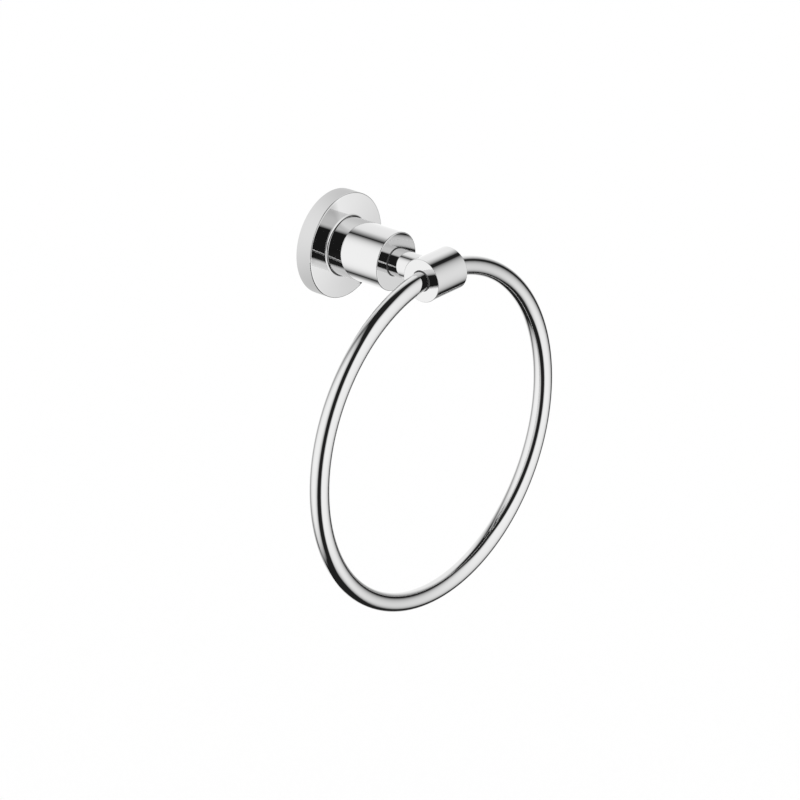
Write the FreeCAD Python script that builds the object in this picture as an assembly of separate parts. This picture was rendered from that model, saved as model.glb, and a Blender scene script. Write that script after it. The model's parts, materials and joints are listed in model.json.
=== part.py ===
import FreeCAD, Part
import math
import os

# Wall-mounted towel ring, in millimetres.
# The wall is the plane y = 0 and the product stands out from it along -Y. X runs along the wall and
# Z points up. The origin is the point where the axis of the post meets the wall.
# A depth is a distance out from the wall, so a point at depth d has y = -d.

# Ring
ring_outer_diameter = 200.0
ring_rod_diameter = 10.6
ring_end_gap = 1.0
ring_flat_depth = 0.4
ring_flat_width = 4.6

# Pin that lines up the two ends of the ring inside the head
joint_pin_diameter = 4.0
joint_pin_length = 16.0
joint_pin_end_play = 0.3

# Head that carries the ring
head_diameter = 24.0
head_length = 24.0
head_edge_radius = 0.3

# Plastic sleeves round the rod, one in each mouth of the head
sleeve_wall = 0.65
sleeve_length = 2.0
sleeve_dome = 0.2

# Screws that hold the two ends of the ring
head_screw_diameter = 4.0
head_screw_recess = 1.9
head_screw_spacing = 12.0

# Stem between the post and the head
stem_diameter = 15.2
stem_length = 15.3
stem_seat_depth = 3.0
stem_thread_diameter = 8.0
stem_rear_thread_length = 9.5

# Plastic collar round the foot of the stem, in a recess of the post
collar_wall = 0.6
collar_length = 2.0
collar_dome = 0.2

# Post
post_diameter = 32.7
post_length = 35.2
post_edge_radius = 0.5
post_cove_radius = 1.25
post_lip = 0.1
post_thread_depth = 13.0
post_socket_depth = 10.5

# Rosette against the wall
rosette_diameter = 59.0
rosette_thickness = 10.0
rosette_wall = 3.5
rosette_web = 3.0
rosette_edge_radius = 0.6

# Screw, washer and pin that join the post to the rosette
post_screw_diameter = 6.0
post_screw_length = 16.0
post_screw_head_diameter = 10.0
post_screw_head_height = 4.0
post_screw_key = 4.0
washer_diameter = 11.8
washer_thickness = 1.2
locating_pin_diameter = 3.0
locating_pin_length = 8.0
locating_pin_offset = 11.0

# Wall plate inside the rosette
plate_base = 2.5
plate_depth = 6.4
plate_rim_width = 3.5
plate_fit = 0.3
plate_edge = 0.3
plate_centre_hole_diameter = 14.0
wall_hole_diameter = 5.0
wall_hole_countersink_diameter = 9.4
wall_hole_spacing = 30.0
key_width = 5.0
key_height = 1.5
key_depth = 4.0

# Screw that locks the rosette to the wall plate
rosette_screw_diameter = 4.0
rosette_screw_length = 4.0
rosette_screw_point_radius = 0.8
rosette_screw_point_height = 1.2
rosette_screw_depth = 3.8

# Hexagon sockets of the small screws
small_key = 2.0
small_key_depth = 2.0

# Clearances between pieces that fit together, measured on the radius
thread_clearance = 0.05
pin_clearance = 0.02
rod_clearance = 0.05
plastic_clearance = 0.02
stem_clearance = 0.05
key_clearance = 0.15
through_clearance = 0.2
screw_chamfer = 0.4

# Sizes that follow from the ones above
ring_rod_radius = ring_rod_diameter / 2
ring_radius = ring_outer_diameter / 2 - ring_rod_radius
head_radius = head_diameter / 2
head_half = head_length / 2
post_projection = rosette_thickness + post_length
head_projection = post_projection + stem_length + head_radius
ring_centre_z = -math.sqrt(ring_radius ** 2 - head_half ** 2)
channel_radius = ring_rod_radius + rod_clearance
sleeve_radius = ring_rod_radius + sleeve_wall
collar_radius = stem_diameter / 2 + collar_wall
collar_seat = post_projection - collar_length
post_radius = post_diameter / 2
rosette_radius = rosette_diameter / 2
rosette_cavity_radius = rosette_radius - rosette_wall
rosette_cavity_depth = rosette_thickness - rosette_web
plate_radius = rosette_cavity_radius - plate_fit
stem_seat = head_projection - head_radius + stem_seat_depth
rod_back = head_projection - ring_rod_radius

X = FreeCAD.Vector(1, 0, 0)
Y = FreeCAD.Vector(0, 1, 0)
Z = FreeCAD.Vector(0, 0, 1)
OUT = FreeCAD.Vector(0, -1, 0)


def at(x, depth, z):
    return FreeCAD.Vector(x, -depth, z)


def cylinder_out(radius, start, end, x=0.0, z=0.0):
    """Round bar or bore along the depth, from one depth to another."""
    return Part.makeCylinder(radius, end - start, at(x, start, z), OUT)


def cylinder_across(radius, start, end, depth, z=0.0):
    """Round bar or bore along X at a given depth and height."""
    return Part.makeCylinder(radius, end - start, at(start, depth, z), X)


def cylinder_up(radius, bottom, top, x, depth):
    """Round bar or bore along Z."""
    return Part.makeCylinder(radius, top - bottom, at(x, depth, bottom), Z)


def block(x_size, depth_start, depth_end, z_start, z_end, x=0.0):
    """Box centred on x, between two depths and two heights."""
    corner = at(x - x_size / 2, depth_end, z_start)
    return Part.makeBox(x_size, depth_end - depth_start, z_end - z_start, corner)


def hexagon_prism(across_flats, length, base, direction):
    """Six-sided bar for the socket of a screw."""
    corner_radius = across_flats / math.sqrt(3)
    side = X if abs(direction.dot(X)) < 0.5 else Y
    other = direction.cross(side)
    corners = []
    for step in range(7):
        turn = math.radians(60 * step)
        reach = side * (corner_radius * math.cos(turn)) + other * (corner_radius * math.sin(turn))
        corners.append(base + reach)
    face = Part.Face(Part.makePolygon(corners))
    return face.extrude(direction * length)


def round_rims(shape, size, rims, sharp=False):
    """Round or chamfer the circular edges whose radius and centre are listed."""
    chosen = []
    for edge in shape.Edges:
        curve = edge.Curve
        if not isinstance(curve, Part.Circle):
            continue
        for radius, centre in rims:
            same_size = abs(curve.Radius - radius) < 1e-4
            if same_size and curve.Center.distanceToPoint(centre) < 1e-4:
                chosen.append(edge)
    if sharp:
        return shape.makeChamfer(size, chosen)
    return shape.makeFillet(size, chosen)


def turned_with_cove(radius, start, end, cove, lip):
    """Round bar along the depth whose foot flares out in a hollow curve to a thin lip."""
    flare = radius + cove
    arc_middle = cove * (1 - math.sqrt(0.5))
    points = [at(0, start, 0), at(flare, start, 0), at(flare, start + lip, 0)]
    foot = Part.makePolygon(points).Edges
    cove_arc = Part.Arc(
        points[-1],
        at(radius + arc_middle, start + lip + arc_middle, 0),
        at(radius, start + lip + cove, 0),
    ).toShape()
    rest = Part.makePolygon([at(radius, start + lip + cove, 0), at(radius, end, 0), at(0, end, 0), at(0, start, 0)])
    profile = Part.Wire(foot + [cove_arc] + rest.Edges)
    return Part.Face(profile).revolve(FreeCAD.Vector(0, 0, 0), Y, 360)


def domed_ring(section, inner, outer, start, end, dome, axis_point, axis):
    """Ring turned from a narrow section whose visible end is slightly domed."""
    middle = (inner + outer) / 2
    corners = [section(inner, end), section(inner, start), section(outer, start), section(outer, end)]
    crown = Part.Arc(corners[3], section(middle, end + dome), corners[0]).toShape()
    profile = Part.Wire(Part.makePolygon(corners).Edges + [crown])
    return Part.Face(profile).revolve(axis_point, axis, 360)


def ring_tube(radius):
    """Full circle of round bar that hangs in the plane of the ring."""
    return Part.makeTorus(ring_radius, radius, at(0, head_projection, ring_centre_z), Y)


def rod_centre_z(x):
    """Height of the centre of the ring's rod, at a place across the head."""
    return ring_centre_z + math.sqrt(ring_radius ** 2 - x ** 2)


def head_screw_places():
    return {"left": -head_screw_spacing / 2, "right": head_screw_spacing / 2}


def flat_z(x):
    """Height of the flat under the rod, where a screw bears."""
    return rod_centre_z(x) - ring_rod_radius + ring_flat_depth


def joint_pin_z():
    return rod_centre_z(0.0)


def make_ring():
    ring = ring_tube(ring_rod_radius)
    reach = ring_rod_diameter
    top = rod_centre_z(0.0)
    gap = block(
        ring_end_gap,
        head_projection - reach,
        head_projection + reach,
        top - reach,
        top + reach,
    )
    ring = ring.cut(gap)
    for x in head_screw_places().values():
        flat = block(
            ring_flat_width,
            head_projection - reach,
            head_projection + reach,
            flat_z(x) - ring_rod_diameter,
            flat_z(x),
            x,
        )
        ring = ring.cut(flat)
    half = joint_pin_length / 2 + joint_pin_end_play
    pin_bore = cylinder_across(
        joint_pin_diameter / 2 + pin_clearance,
        -half,
        half,
        head_projection,
        joint_pin_z(),
    )
    return ring.cut(pin_bore)


def make_joint_pin():
    radius = joint_pin_diameter / 2
    half = joint_pin_length / 2
    pin = cylinder_across(radius, -half, half, head_projection, joint_pin_z())
    ends = [(radius, at(side * half, head_projection, joint_pin_z())) for side in (-1, 1)]
    return round_rims(pin, screw_chamfer, ends, sharp=True)


def make_head():
    """Head with a channel that follows the bent rod, and a recess for a sleeve in each mouth."""
    head = cylinder_across(head_radius, -head_half, head_half, head_projection)
    ends = [(head_radius, at(side * head_half, head_projection, 0)) for side in (-1, 1)]
    head = round_rims(head, head_edge_radius, ends)
    seat = cylinder_out(
        stem_diameter / 2 + stem_clearance,
        head_projection - 2 * head_radius,
        stem_seat,
    )
    thread = cylinder_out(stem_thread_diameter / 2 + thread_clearance, stem_seat, head_projection)
    head = head.cut(seat).cut(thread).cut(ring_tube(channel_radius))
    for side in (-1, 1):
        outer = side * head_half
        inner = side * (head_half - sleeve_length)
        recess = cylinder_across(sleeve_radius, min(outer, inner), max(outer, inner), head_projection)
        head = head.cut(recess)
    for x in head_screw_places().values():
        hole = cylinder_up(
            head_screw_diameter / 2 + thread_clearance,
            -head_diameter,
            flat_z(x),
            x,
            head_projection,
        )
        head = head.cut(hole)
    return head


def make_sleeve(side):
    """Sleeve in the mouth of the head, bored along the curve of the rod."""
    sleeve = domed_ring(
        lambda radius, reach: at(side * reach, head_projection, radius),
        ring_rod_radius - sleeve_wall / 2,
        sleeve_radius - plastic_clearance,
        head_half - sleeve_length,
        head_half,
        sleeve_dome,
        at(0, head_projection, 0),
        X,
    )
    return sleeve.cut(ring_tube(channel_radius))


def make_head_screw(x):
    radius = head_screw_diameter / 2
    tip = flat_z(x)
    outer = -(head_radius - head_screw_recess)
    screw = cylinder_up(radius, outer, tip, x, head_projection)
    ends = [(radius, at(x, head_projection, z)) for z in (outer, tip)]
    screw = round_rims(screw, screw_chamfer, ends, sharp=True)
    socket = hexagon_prism(small_key, small_key_depth, at(x, head_projection, outer), Z)
    return screw.cut(socket)


def make_stem():
    """Stem that stands in a shallow recess of the post and in the round back of the head."""
    stem = cylinder_out(stem_diameter / 2, collar_seat, stem_seat)
    radius = stem_thread_diameter / 2
    rear_end = post_projection - stem_rear_thread_length
    thread = cylinder_out(radius, rear_end, rod_back)
    ends = [(radius, at(0, depth, 0)) for depth in (rear_end, rod_back)]
    thread = round_rims(thread, screw_chamfer, ends, sharp=True)
    return stem.fuse(thread).removeSplitter()


def make_collar():
    """Collar that fills the recess round the stem."""
    return domed_ring(
        lambda radius, depth: at(0, depth, radius),
        stem_diameter / 2 + plastic_clearance,
        collar_radius - plastic_clearance,
        collar_seat,
        post_projection,
        collar_dome,
        at(0, 0, 0),
        Y,
    )


def make_post():
    post = turned_with_cove(
        post_radius,
        rosette_thickness,
        post_projection,
        post_cove_radius,
        post_lip,
    )
    post = round_rims(post, post_edge_radius, [(post_radius, at(0, post_projection, 0))])
    rear_thread = cylinder_out(
        post_screw_diameter / 2 + thread_clearance,
        rosette_thickness,
        rosette_thickness + post_thread_depth,
    )
    front_thread = cylinder_out(
        stem_thread_diameter / 2 + thread_clearance,
        post_projection - post_socket_depth,
        post_projection,
    )
    recess = cylinder_out(collar_radius, collar_seat, post_projection)
    pin_hole = cylinder_out(
        locating_pin_diameter / 2 + pin_clearance,
        rosette_thickness,
        rosette_cavity_depth + locating_pin_length + through_clearance,
        z=locating_pin_offset,
    )
    return post.cut(rear_thread).cut(front_thread).cut(recess).cut(pin_hole)


def make_rosette():
    shell = cylinder_out(rosette_radius, 0, rosette_thickness)
    edges = [(rosette_radius, at(0, rosette_thickness, 0))]
    shell = round_rims(shell, rosette_edge_radius, edges)
    cavity = cylinder_out(rosette_cavity_radius, 0, rosette_cavity_depth)
    screw_hole = cylinder_out(
        post_screw_diameter / 2 + through_clearance,
        rosette_cavity_depth,
        rosette_thickness,
    )
    pin_hole = cylinder_out(
        locating_pin_diameter / 2 + pin_clearance,
        rosette_cavity_depth,
        rosette_thickness,
        z=locating_pin_offset,
    )
    key_slot = block(
        key_width + 2 * key_clearance,
        0,
        key_depth + key_clearance,
        0,
        plate_radius + key_height + key_clearance,
    )
    lock_hole = cylinder_up(
        rosette_screw_diameter / 2 + thread_clearance,
        -rosette_radius,
        0,
        0,
        rosette_screw_depth,
    )
    return shell.cut(cavity).cut(screw_hole).cut(pin_hole).cut(key_slot).cut(lock_hole)


def make_rosette_screw():
    radius = rosette_screw_diameter / 2
    tip = -(plate_radius - rosette_screw_point_height)
    shoulder = tip - rosette_screw_point_height
    outer = tip - rosette_screw_length
    body = cylinder_up(radius, outer, shoulder, 0, rosette_screw_depth)
    body = round_rims(body, screw_chamfer, [(radius, at(0, rosette_screw_depth, outer))], sharp=True)
    point = Part.makeCone(
        radius,
        rosette_screw_point_radius,
        rosette_screw_point_height,
        at(0, rosette_screw_depth, shoulder),
        Z,
    )
    socket = hexagon_prism(small_key, small_key_depth, at(0, rosette_screw_depth, outer), Z)
    return body.fuse(point).removeSplitter().cut(socket)


def make_post_screw():
    head_end = rosette_cavity_depth - washer_thickness
    head_start = head_end - post_screw_head_height
    shank_end = head_end + post_screw_length
    head_radius_here = post_screw_head_diameter / 2
    shank_radius = post_screw_diameter / 2
    head = cylinder_out(head_radius_here, head_start, head_end)
    head = round_rims(head, screw_chamfer, [(head_radius_here, at(0, head_start, 0))])
    shank = cylinder_out(shank_radius, head_end, shank_end)
    shank = round_rims(shank, screw_chamfer, [(shank_radius, at(0, shank_end, 0))], sharp=True)
    socket = hexagon_prism(post_screw_key, post_screw_head_height / 2, at(0, head_start, 0), OUT)
    return head.fuse(shank).removeSplitter().cut(socket)


def make_washer():
    outer = cylinder_out(
        washer_diameter / 2,
        rosette_cavity_depth - washer_thickness,
        rosette_cavity_depth,
    )
    hole = cylinder_out(
        post_screw_diameter / 2 + through_clearance,
        rosette_cavity_depth - washer_thickness,
        rosette_cavity_depth,
    )
    return outer.cut(hole)


def make_locating_pin():
    radius = locating_pin_diameter / 2
    end = rosette_cavity_depth + locating_pin_length
    pin = cylinder_out(radius, rosette_cavity_depth, end, z=locating_pin_offset)
    rims = [(radius, at(0, depth, locating_pin_offset)) for depth in (rosette_cavity_depth, end)]
    return round_rims(pin, screw_chamfer, rims, sharp=True)


def plate_groove():
    """Groove round the plate, shaped to the point of the screw that pulls the rosette to the wall."""
    bottom = plate_radius - rosette_screw_point_height
    half_bottom = rosette_screw_point_radius
    half_top = rosette_screw_diameter / 2
    slope = (half_top - half_bottom) / rosette_screw_point_height
    beyond = plate_radius + key_height
    half_beyond = half_top + slope * key_height
    centre = rosette_screw_depth
    outline = Part.makePolygon([
        at(bottom, centre - half_bottom, 0),
        at(bottom, centre + half_bottom, 0),
        at(beyond, centre + half_beyond, 0),
        at(beyond, centre - half_beyond, 0),
        at(bottom, centre - half_bottom, 0),
    ])
    return Part.Face(outline).revolve(FreeCAD.Vector(0, 0, 0), Y, 360)


def make_wall_plate():
    plate = cylinder_out(plate_radius, 0, plate_depth)
    plate = round_rims(plate, plate_edge, [(plate_radius, at(0, plate_depth, 0))], sharp=True)
    plate = plate.cut(plate_groove())
    key = block(key_width, 0, key_depth, 0, plate_radius + key_height)
    plate = plate.fuse(key)
    recess = cylinder_out(plate_radius - plate_rim_width, plate_base, plate_depth)
    centre_hole = cylinder_out(plate_centre_hole_diameter / 2, 0, plate_base)
    plate = plate.cut(recess).cut(centre_hole)
    hole_radius = wall_hole_diameter / 2
    sink_radius = wall_hole_countersink_diameter / 2
    for side in (-1, 1):
        x = side * wall_hole_spacing / 2
        hole = cylinder_out(hole_radius, 0, plate_base, x)
        sink = Part.makeCone(
            sink_radius,
            hole_radius,
            sink_radius - hole_radius,
            at(x, plate_base, 0),
            Y,
        )
        plate = plate.cut(hole).cut(sink)
    return plate.removeSplitter()


parts = {
    "wall_plate": make_wall_plate(),
    "rosette": make_rosette(),
    "rosette_lock_screw": make_rosette_screw(),
    "post": make_post(),
    "post_screw": make_post_screw(),
    "post_screw_washer": make_washer(),
    "post_locating_pin": make_locating_pin(),
    "stem_collar": make_collar(),
    "stem": make_stem(),
    "head": make_head(),
    "rod_sleeve_left": make_sleeve(-1),
    "rod_sleeve_right": make_sleeve(1),
    "ring": make_ring(),
    "ring_joint_pin": make_joint_pin(),
}
for name, place in head_screw_places().items():
    parts["head_lock_screw_" + name] = make_head_screw(place)

os.makedirs("parts", exist_ok=True)
for name, shape in parts.items():
    shape.exportStep("parts/" + name + ".step")
    box = shape.BoundBox
    print(name, shape.isValid(), len(shape.Solids), round(shape.Volume, 1), round(box.XLength, 2),
          round(box.YLength, 2), round(box.ZLength, 2))
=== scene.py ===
import json
import math

import bpy
from mathutils import Matrix, Vector


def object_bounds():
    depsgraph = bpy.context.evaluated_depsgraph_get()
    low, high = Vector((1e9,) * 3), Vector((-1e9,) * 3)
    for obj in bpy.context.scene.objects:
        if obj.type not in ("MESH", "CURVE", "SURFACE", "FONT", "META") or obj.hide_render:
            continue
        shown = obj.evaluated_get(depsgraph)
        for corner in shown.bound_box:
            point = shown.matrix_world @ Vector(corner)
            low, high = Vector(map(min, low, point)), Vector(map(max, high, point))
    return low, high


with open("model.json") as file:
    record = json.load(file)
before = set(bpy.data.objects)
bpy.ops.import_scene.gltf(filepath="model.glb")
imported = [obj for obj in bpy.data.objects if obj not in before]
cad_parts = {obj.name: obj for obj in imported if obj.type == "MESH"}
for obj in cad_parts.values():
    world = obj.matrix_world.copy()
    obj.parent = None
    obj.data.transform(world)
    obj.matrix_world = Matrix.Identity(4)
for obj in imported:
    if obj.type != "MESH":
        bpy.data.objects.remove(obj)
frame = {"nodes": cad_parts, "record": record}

cad_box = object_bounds()
nodes = frame["nodes"]
scene = bpy.context.scene

# Camera, matched to the photograph. Metres and degrees.
view_azimuth = -50.120
view_elevation = 24.348
view_roll = 0.275
view_distance = 2.26462
view_lens = 188.22
view_target = Vector((-0.003466, -0.051135, -0.078365))
sensor_width = 36.0
clip_end = 100.0

# Studio
floor_drop = 0.30
floor_size = 30.0
dark_level = 0.020

# Glowing white card on the wall round the rosette, wider on one side, standing in for the lit wall. It
# shows in reflections only, and its glow is painted lighter towards one side.
card_inner_radius = 0.0296
card_outer_radius = 0.0375
card_outer_centre = (-0.0050, 0.0029)
card_gap = 0.0002
card_corners = 96
card_painted_light_side = (-0.866, 0.0, 0.5)
card_glow_level = 0.69
card_painted_light_share = 0.25

# Chrome plating
chrome_grey = 0.68
chrome_grey_change = 0.006
chrome_cloud_scale = 45.0
chrome_roughness = (0.012, 0.030)
chrome_haze_scale = 420.0
chrome_haze_share = (0.35, 0.75)
chrome_wave_scale = 70.0
chrome_wave_strength = 0.15
chrome_wave_height = 0.00001
# Painted light on the rosette's rim: its grey is painted lighter towards -X and up, and darker on the
# opposite side.
rosette_painted_light_side = (-0.64, 0.0, 0.77)
rosette_grey_painted_by_side = (0.625, 0.775)

# Painted sheen on the turned front of the rosette: its grey is painted lighter towards one side, with a
# painted darker wedge, so it changes with the side it lies on
front_depth = (0.0090, 0.0096)
front_painted_highlight_side = (-0.703, 0.0, 0.711)
front_grey_painted_by_side = (0.644, 0.850)
front_painted_shade_side = (-0.819, 0.0, 0.574)
front_painted_shade_share = (0.766, 0.866)
front_painted_shade_amount = 0.23

# Zinc plating of the wall plate
zinc_crystal_scale = 380.0
zinc_grey = (0.50, 0.60)
zinc_tint = (0.97, 0.985, 1.0)
zinc_roughness = (0.30, 0.42)
zinc_grain_scale = 2600.0
zinc_grain_strength = 0.25
zinc_grain_height = 0.00002

# Stainless steel of the screws and pins
steel_cloud_scale = 260.0
steel_grey = (0.47, 0.54)
steel_tint = (1.0, 0.985, 0.96)
steel_roughness = (0.20, 0.34)
steel_grain_scale = 3400.0
steel_grain_strength = 0.2
steel_grain_height = 0.00001

# Black nylon of the collar and the sleeves
nylon_cloud_scale = 700.0
nylon_grey = (0.062, 0.078)
nylon_roughness = (0.26, 0.38)
nylon_grain_scale = 5200.0
nylon_grain_strength = 0.2
nylon_grain_height = 0.00002

# Range that most of a noise pattern lies in
noise_share = (0.3, 0.7)


def place_camera():
    azimuth = math.radians(view_azimuth)
    elevation = math.radians(view_elevation)
    roll = math.radians(view_roll)
    level = Vector((math.cos(azimuth), math.sin(azimuth), 0.0))
    back = Vector((
        math.sin(azimuth) * math.cos(elevation),
        -math.cos(azimuth) * math.cos(elevation),
        math.sin(elevation),
    ))
    upright = back.cross(level)
    right = level * math.cos(roll) + upright * math.sin(roll)
    up = back.cross(right)
    camera_data = bpy.data.cameras.new("camera")
    camera_data.sensor_width = sensor_width
    camera_data.lens = view_lens
    camera_data.clip_end = clip_end
    camera = bpy.data.objects.new("camera", camera_data)
    scene.collection.objects.link(camera)
    turn = Matrix((right, up, back)).transposed()
    camera.matrix_world = Matrix.Translation(view_target + back * view_distance) @ turn.to_4x4()
    scene.camera = camera


class NodeTree:
    """Adds shader nodes to one node tree and links their sockets."""

    def __init__(self, tree):
        self.tree = tree
        tree.nodes.clear()

    def add(self, kind, **settings):
        node = self.tree.nodes.new(kind)
        for key, value in settings.items():
            setattr(node, key, value)
        return node

    def join(self, out_socket, in_socket):
        self.tree.links.new(out_socket, in_socket)

    def math(self, operation, *inputs):
        node = self.add("ShaderNodeMath", operation=operation)
        for place, value in enumerate(inputs):
            if isinstance(value, (int, float)):
                node.inputs[place].default_value = value
            else:
                self.join(value, node.inputs[place])
        return node.outputs[0]

    def object_place(self):
        return self.add("ShaderNodeTexCoord").outputs["Object"]

    def noise(self, place, scale, detail):
        node = self.add("ShaderNodeTexNoise")
        node.inputs["Scale"].default_value = scale
        node.inputs["Detail"].default_value = detail
        self.join(place, node.inputs["Vector"])
        return node.outputs["Fac"]

    def spread(self, value, from_low, from_high, low, high):
        """Maps a value from one range to another and holds it there."""
        node = self.add("ShaderNodeMapRange", clamp=True)
        node.inputs["From Min"].default_value = from_low
        node.inputs["From Max"].default_value = from_high
        node.inputs["To Min"].default_value = low
        node.inputs["To Max"].default_value = high
        self.join(value, node.inputs["Value"])
        return node.outputs["Result"]

    def grey_to_colour(self, value, tint=(1.0, 1.0, 1.0)):
        node = self.add("ShaderNodeCombineColor")
        for place, share in enumerate(tint):
            self.join(value if share == 1.0 else self.math("MULTIPLY", value, share), node.inputs[place])
        return node.outputs[0]

    def bump(self, height, strength, distance):
        node = self.add("ShaderNodeBump")
        node.inputs["Strength"].default_value = strength
        node.inputs["Distance"].default_value = distance
        self.join(height, node.inputs["Height"])
        return node.outputs["Normal"]

    def side_share(self, place, side):
        """From -1 to 1: how far round the axis of the post a place lies towards one side."""
        flat = self.add("ShaderNodeVectorMath", operation="MULTIPLY")
        flat.inputs[1].default_value = (1.0, 0.0, 1.0)
        self.join(place, flat.inputs[0])
        unit = self.add("ShaderNodeVectorMath", operation="NORMALIZE")
        self.join(flat.outputs[0], unit.inputs[0])
        share = self.add("ShaderNodeVectorMath", operation="DOT_PRODUCT")
        share.inputs[1].default_value = side
        self.join(unit.outputs[0], share.inputs[0])
        return share.outputs["Value"]


def new_material(name):
    material = bpy.data.materials.new(name)
    material.use_nodes = True
    return material, NodeTree(material.node_tree)


def finish_surface(tree, shader):
    output = tree.add("ShaderNodeOutputMaterial")
    tree.join(shader.outputs[0], output.inputs["Surface"])


def eased_edge(tree, distance, fade, power):
    """0 outside the edge of a light panel, rising from it to 1 over the width of the fade."""
    share = tree.math("DIVIDE", distance, math.radians(fade))
    share = tree.math("MINIMUM", tree.math("MAXIMUM", share, 0.0), 1.0)
    rest = tree.math("SUBTRACT", 1.0, share)
    return tree.math("SUBTRACT", 1.0, tree.math("POWER", rest, power))


# Tall white panels that stand round the product, with black between, above and below them.
# Bearings are in degrees from straight in front of the wall, positive towards +X, and top and bottom are
# degrees above and below the horizon. Lean and bow say how far a side edge has moved inwards at 50 degrees
# up: lean turns over below the horizon and bow doesn't. A higher power makes a fade quicker at first.
light_panels = [
    {
        "level": 1.270,
        "left": -181.9, "left_lean": -1.7, "left_bow": 14.6, "left_fade": 55.2, "left_power": 2.57,
        "right": -66.4, "right_lean": -0.7, "right_bow": 8.6, "right_fade": 79.4, "right_power": 6.00,
        "top": 68.1, "top_fade": 57.4, "top_power": 6.0,
        "bottom": 66.6, "bottom_fade": 68.2, "bottom_power": 6.0,
    },
    {
        "level": 1.260,
        "left": -37.0, "left_lean": 0.6, "left_bow": 8.7, "left_fade": 19.0, "left_power": 2.04,
        "right": 78.2, "right_lean": 2.0, "right_bow": 4.8, "right_fade": 105.9, "right_power": 4.61,
        "top": 68.5, "top_fade": 49.9, "top_power": 6.0,
        "bottom": 69.7, "bottom_fade": 69.1, "bottom_power": 6.0,
    },
    {
        "level": 1.142,
        "left": 90.9, "left_lean": -8.5, "left_bow": 4.2, "left_fade": 33.9, "left_power": 1.48,
        "right": 195.8, "right_lean": 1.5, "right_bow": 3.2, "right_fade": 36.1, "right_power": 1.28,
        "top": 64.4, "top_fade": 41.7, "top_power": 6.0,
        "bottom": 58.4, "bottom_fade": 24.3, "bottom_power": 6.0,
    },
]
lean_height = math.radians(50.0)


def build_world():
    world = bpy.data.worlds.new("studio")
    world.use_nodes = True
    world.cycles.sampling_method = "NONE"
    scene.world = world
    tree = NodeTree(world.node_tree)
    direction = tree.add("ShaderNodeTexCoord").outputs["Generated"]
    split = tree.add("ShaderNodeSeparateXYZ")
    tree.join(direction, split.inputs[0])
    outward = tree.math("MULTIPLY", split.outputs["Y"], -1.0)
    bearing = tree.math("ARCTAN2", split.outputs["X"], outward)
    height = tree.math("ARCSINE", split.outputs["Z"])
    tilt = tree.math("DIVIDE", height, lean_height)
    bend = tree.math("MULTIPLY", tilt, tilt)
    light = None
    for panel in light_panels:
        centre = math.radians((panel["left"] + panel["right"]) / 2)
        half = math.radians((panel["right"] - panel["left"]) / 2)
        off_centre = tree.math("WRAP", tree.math("SUBTRACT", bearing, centre), math.pi, -math.pi)
        glow = panel["level"]
        for side, turn in (("left", 1.0), ("right", -1.0)):
            inward = tree.math("MULTIPLY_ADD", off_centre, turn, half)
            lean = tree.math("MULTIPLY", tilt, math.radians(panel[side + "_lean"]))
            bow = tree.math("MULTIPLY", bend, math.radians(panel[side + "_bow"]))
            inward = tree.math("SUBTRACT", inward, tree.math("ADD", lean, bow))
            edge = eased_edge(tree, inward, panel[side + "_fade"], panel[side + "_power"])
            glow = tree.math("MULTIPLY", glow, edge)
        for end, turn in (("top", -1.0), ("bottom", 1.0)):
            inward = tree.math("MULTIPLY_ADD", height, turn, math.radians(panel[end]))
            edge = eased_edge(tree, inward, panel[end + "_fade"], panel[end + "_power"])
            glow = tree.math("MULTIPLY", glow, edge)
        light = glow if light is None else tree.math("MAXIMUM", light, glow)
    light = tree.math("MAXIMUM", light, dark_level)
    path = tree.add("ShaderNodeLightPath")
    panels_seen = tree.math("MAXIMUM", path.outputs["Is Glossy Ray"], path.outputs["Is Transmission Ray"])
    mix = tree.add("ShaderNodeMix", data_type="FLOAT")
    mix.inputs["A"].default_value = 1.0
    tree.join(panels_seen, mix.inputs["Factor"])
    tree.join(light, mix.inputs["B"])
    background = tree.add("ShaderNodeBackground")
    tree.join(mix.outputs[0], background.inputs["Color"])
    output = tree.add("ShaderNodeOutputWorld")
    tree.join(background.outputs[0], output.inputs["Surface"])


def build_floor():
    bpy.ops.object.select_all(action="DESELECT")
    bpy.ops.mesh.primitive_plane_add(size=floor_size, location=(0.0, 0.0, cad_box[0].z - floor_drop))
    floor = bpy.context.active_object
    floor.name = "floor"
    material, tree = new_material("studio_floor")
    diffuse = tree.add("ShaderNodeBsdfDiffuse")
    diffuse.inputs["Color"].default_value = (1.0, 1.0, 1.0, 1.0)
    clear = tree.add("ShaderNodeBsdfTransparent")
    path = tree.add("ShaderNodeLightPath")
    unseen = tree.math("MAXIMUM", path.outputs["Is Glossy Ray"], path.outputs["Is Transmission Ray"])
    mix = tree.add("ShaderNodeMixShader")
    tree.join(unseen, mix.inputs[0])
    tree.join(diffuse.outputs[0], mix.inputs[1])
    tree.join(clear.outputs[0], mix.inputs[2])
    finish_surface(tree, mix)
    floor.data.materials.append(material)


def add_upright_circle(radius, x, z):
    bpy.ops.mesh.primitive_circle_add(
        vertices=card_corners,
        radius=radius,
        location=(x, card_gap, z),
        rotation=(math.pi / 2, 0.0, 0.0),
    )


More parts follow.
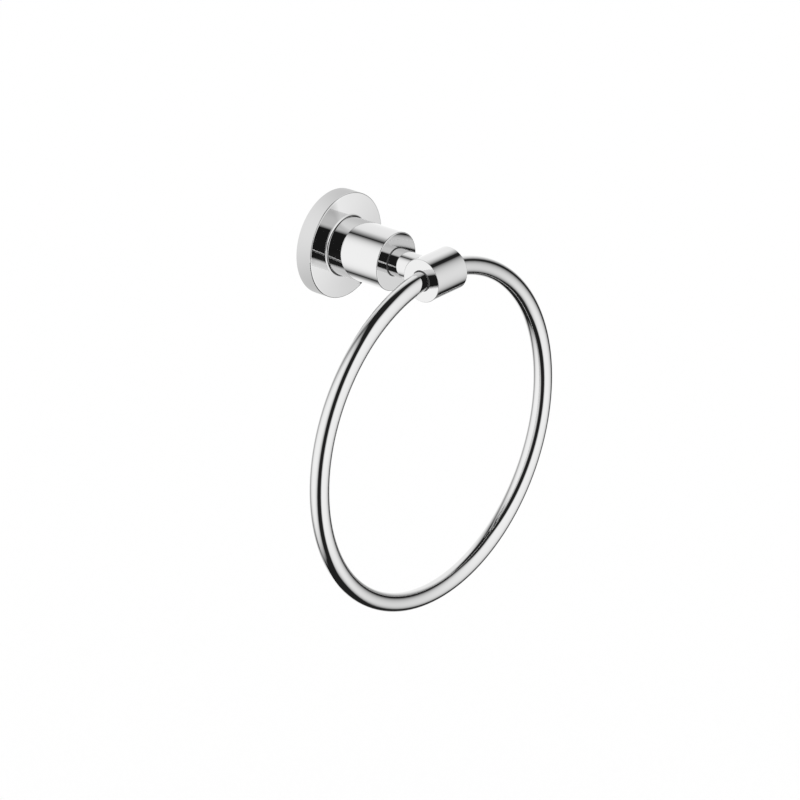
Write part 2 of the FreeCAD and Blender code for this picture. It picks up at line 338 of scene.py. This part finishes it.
def build_wall_card():
    bpy.ops.object.select_all(action="DESELECT")
    add_upright_circle(card_outer_radius, *card_outer_centre)
    card = bpy.context.active_object
    card.name = "wall_card"
    bpy.ops.object.transform_apply(location=True, rotation=True, scale=True)
    bpy.ops.object.mode_set(mode="EDIT")
    add_upright_circle(card_inner_radius, 0.0, 0.0)
    bpy.ops.mesh.select_all(action="SELECT")
    bpy.ops.mesh.bridge_edge_loops()
    bpy.ops.object.mode_set(mode="OBJECT")
    material, tree = new_material("glowing_wall_card")
    # The card glows instead of being lit, and its glow is painted lighter towards one side: a painted
    # reflection source.
    share = tree.math("MAXIMUM", tree.side_share(tree.object_place(), card_painted_light_side), 0.0)
    share = tree.math("MULTIPLY", share, share)
    level = tree.math("MULTIPLY_ADD", share, card_painted_light_share, card_glow_level)
    glow = tree.add("ShaderNodeEmission")
    tree.join(tree.grey_to_colour(level), glow.inputs["Color"])
    clear = tree.add("ShaderNodeBsdfTransparent")
    path = tree.add("ShaderNodeLightPath")
    mix = tree.add("ShaderNodeMixShader")
    tree.join(path.outputs["Is Glossy Ray"], mix.inputs[0])
    tree.join(clear.outputs[0], mix.inputs[1])
    tree.join(glow.outputs[0], mix.inputs[2])
    finish_surface(tree, mix)
    material.cycles.emission_sampling = "NONE"
    card.data.materials.append(material)


def polished_chrome(name, grey_by_place=None):
    """Mirror plating with a faint polishing haze and a long, very shallow wave."""
    material, tree = new_material(name)
    place = tree.object_place()
    surface = tree.add("ShaderNodeBsdfPrincipled")
    surface.inputs["Metallic"].default_value = 1.0
    cloud = tree.noise(place, chrome_cloud_scale, 3.0)
    change = tree.spread(cloud, *noise_share, -chrome_grey_change, chrome_grey_change)
    # On the rosette, grey_by_place paints sheen and shade into the plating grey.
    grey = grey_by_place(tree, place) if grey_by_place else chrome_grey
    tree.join(tree.grey_to_colour(tree.math("ADD", change, grey)), surface.inputs["Base Color"])
    haze = tree.noise(place, chrome_haze_scale, 4.0)
    roughness = tree.spread(haze, *chrome_haze_share, *chrome_roughness)
    tree.join(roughness, surface.inputs["Roughness"])
    wave = tree.noise(place, chrome_wave_scale, 1.0)
    tree.join(tree.bump(wave, chrome_wave_strength, chrome_wave_height), surface.inputs["Normal"])
    finish_surface(tree, surface)
    return material


def rosette_tone_with_painted_sheen(tree, place):
    """Grey of the rosette's plating with painted light: painted sheen and shade that change softly round
    the rim and more on the turned front.
    """
    # Rim grey: real plating grey with painted light and shade by side.
    rim = tree.spread(tree.side_share(place, rosette_painted_light_side), -1.0, 1.0, *rosette_grey_painted_by_side)
    # Front grey: painted sheen, lighter towards one side.
    front = tree.spread(tree.side_share(place, front_painted_highlight_side), -1.0, 1.0, *front_grey_painted_by_side)
    # A painted darker wedge on the front: painted shade.
    dim = tree.spread(tree.side_share(place, front_painted_shade_side), *front_painted_shade_share, 0.0, front_painted_shade_amount)
    front = tree.math("SUBTRACT", front, dim)
    split = tree.add("ShaderNodeSeparateXYZ")
    tree.join(place, split.inputs[0])
    depth = tree.math("MULTIPLY", split.outputs["Y"], -1.0)
    on_front = tree.spread(depth, *front_depth, 0.0, 1.0)
    step = tree.math("SUBTRACT", front, rim)
    return tree.math("MULTIPLY_ADD", on_front, step, rim)


def zinc_plating():
    """Cool grey satin plating with a mottled crystal pattern."""
    material, tree = new_material("zinc_plated_steel")
    place = tree.object_place()
    surface = tree.add("ShaderNodeBsdfPrincipled")
    surface.inputs["Metallic"].default_value = 1.0
    crystals = tree.add("ShaderNodeTexVoronoi")
    crystals.inputs["Scale"].default_value = zinc_crystal_scale
    tree.join(place, crystals.inputs["Vector"])
    split = tree.add("ShaderNodeSeparateColor")
    tree.join(crystals.outputs["Color"], split.inputs[0])
    tone = tree.spread(split.outputs[0], 0.0, 1.0, *zinc_grey)
    tree.join(tree.grey_to_colour(tone, zinc_tint), surface.inputs["Base Color"])
    roughness = tree.spread(split.outputs[1], 0.0, 1.0, *zinc_roughness)
    tree.join(roughness, surface.inputs["Roughness"])
    grain = tree.noise(place, zinc_grain_scale, 3.0)
    tree.join(tree.bump(grain, zinc_grain_strength, zinc_grain_height), surface.inputs["Normal"])
    finish_surface(tree, surface)
    return material


def fastener_steel():
    """Plain stainless steel with fine drawn grain."""
    material, tree = new_material("stainless_fastener")
    place = tree.object_place()
    surface = tree.add("ShaderNodeBsdfPrincipled")
    surface.inputs["Metallic"].default_value = 1.0
    cloud = tree.noise(place, steel_cloud_scale, 3.0)
    tone = tree.spread(cloud, *noise_share, *steel_grey)
    tree.join(tree.grey_to_colour(tone, steel_tint), surface.inputs["Base Color"])
    grain = tree.noise(place, steel_grain_scale, 4.0)
    tree.join(tree.spread(grain, *noise_share, *steel_roughness), surface.inputs["Roughness"])
    tree.join(tree.bump(grain, steel_grain_strength, steel_grain_height), surface.inputs["Normal"])
    finish_surface(tree, surface)
    return material


def black_nylon():
    """Moulded black plastic with a fine satin grain."""
    material, tree = new_material("moulded_black_nylon")
    place = tree.object_place()
    surface = tree.add("ShaderNodeBsdfPrincipled")
    cloud = tree.noise(place, nylon_cloud_scale, 3.0)
    tone = tree.spread(cloud, *noise_share, *nylon_grey)
    tree.join(tree.grey_to_colour(tone), surface.inputs["Base Color"])
    grain = tree.noise(place, nylon_grain_scale, 2.0)
    tree.join(tree.spread(grain, *noise_share, *nylon_roughness), surface.inputs["Roughness"])
    tree.join(tree.bump(grain, nylon_grain_strength, nylon_grain_height), surface.inputs["Normal"])
    finish_surface(tree, surface)
    return material


def dress_nodes():
    finishes = {
        "polished_chrome": polished_chrome("chrome_plating"),
        "zinc_plate": zinc_plating(),
        "fastener_steel": fastener_steel(),
        "black_nylon": black_nylon(),
    }
    # The rosette's chrome carries painted sheen and shade in its grey.
    rosette_chrome_painted_sheen = polished_chrome("chrome_plating_rosette_painted_sheen", rosette_tone_with_painted_sheen)
    for piece in frame["record"]["subparts"]:
        node = nodes[piece["node"]]
        finish = finishes[piece["material_slot"]]
        if piece["node"] == "rosette":
            finish = rosette_chrome_painted_sheen
        node.material_slots[0].material = finish


place_camera()
build_world()
build_floor()
build_wall_card()
dress_nodes()

scene.view_settings.view_transform = "Standard"
